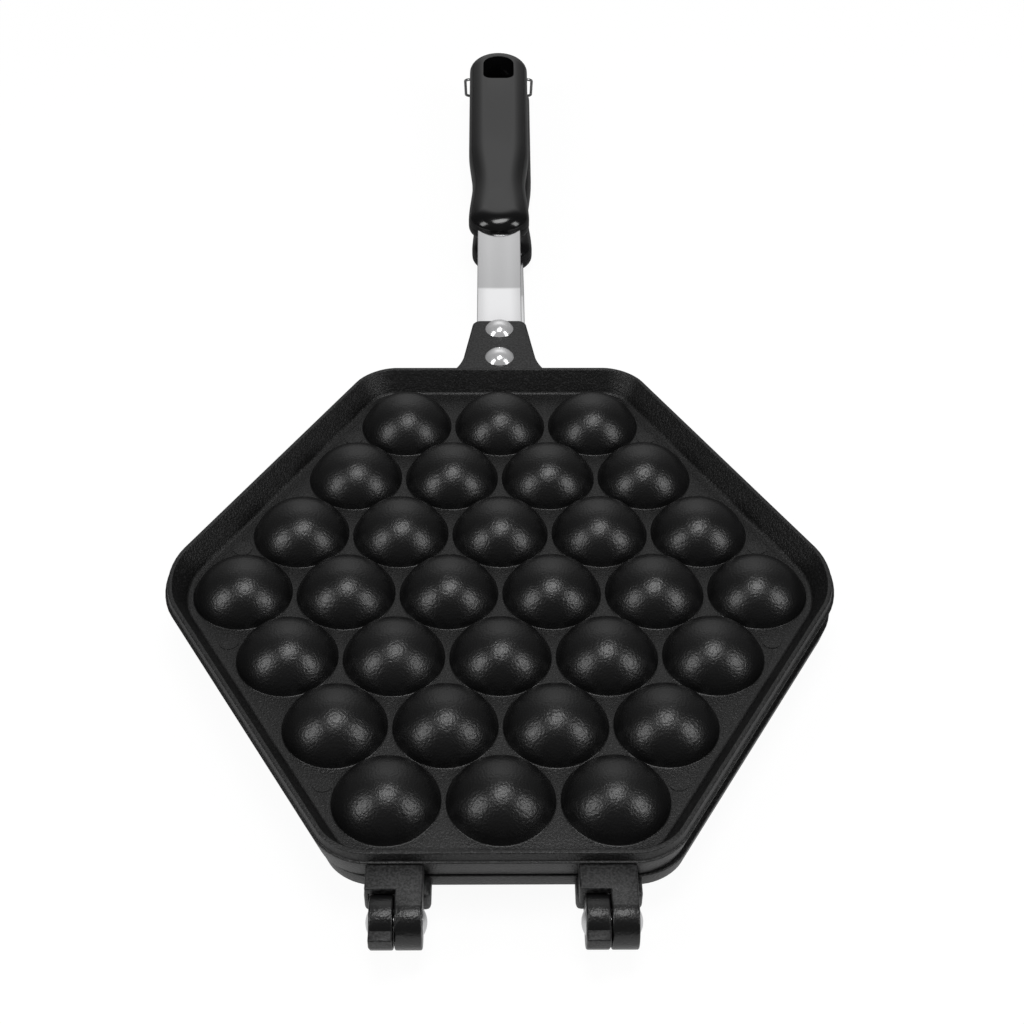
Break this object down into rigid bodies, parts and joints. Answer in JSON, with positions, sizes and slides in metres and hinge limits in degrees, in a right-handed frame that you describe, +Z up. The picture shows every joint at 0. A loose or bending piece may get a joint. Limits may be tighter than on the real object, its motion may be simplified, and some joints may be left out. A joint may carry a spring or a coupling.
{
  "type": "egg waffle pan",
  "caption": "Hinged two-plate bubble waffle pan with ball-shaped cups, tray rim, twin strap handles with slotted grips and a wire latch ring",
  "frame": {"origin": "under the middle of the whole pan, on the plane it rests on", "axes": "+X along the hinge axis, +Y from the hinge towards the grips, +Z up out of the upper plate"},
  "size_m": [0.2076, 0.4582, 0.0279],
  "materials": {
    "coated_casting": "sand-cast aluminium under a dark matte non-stick coating",
    "bright_steel": "bright polished steel",
    "satin_steel": "satin stainless strip",
    "phenolic": "satin black moulded phenolic",
    "spring_wire": "bright drawn spring wire"
  },
  "bodies": {
    "lower_half": {"lower_plate": "coated_casting", "lower_strap": "satin_steel", "lower_grip": "phenolic", "lower_rivet_inner": "bright_steel", "lower_rivet_outer": "bright_steel", "hinge_pin_left": "bright_steel", "hinge_pin_right": "bright_steel"},
    "upper_half": {"upper_plate": "coated_casting", "upper_strap": "satin_steel", "upper_grip": "phenolic", "upper_rivet_inner": "bright_steel", "upper_rivet_outer": "bright_steel"},
    "latch": {"latch_ring": "spring_wire"}
  },
  "joints": [
    {"name": "lid_hinge", "type": "hinge", "parent": "lower_half", "child": "upper_half", "pos_m": [0, -0.22045, 0.01395], "axis": [1, 0, 0], "range_deg": [0, 95]},
    {"name": "latch_swing", "type": "hinge", "parent": "upper_half", "child": "latch", "pos_m": [0, 0.21349, 0.01925], "axis": [1, 0, 0], "range_deg": [-50, 200]}
  ]
}
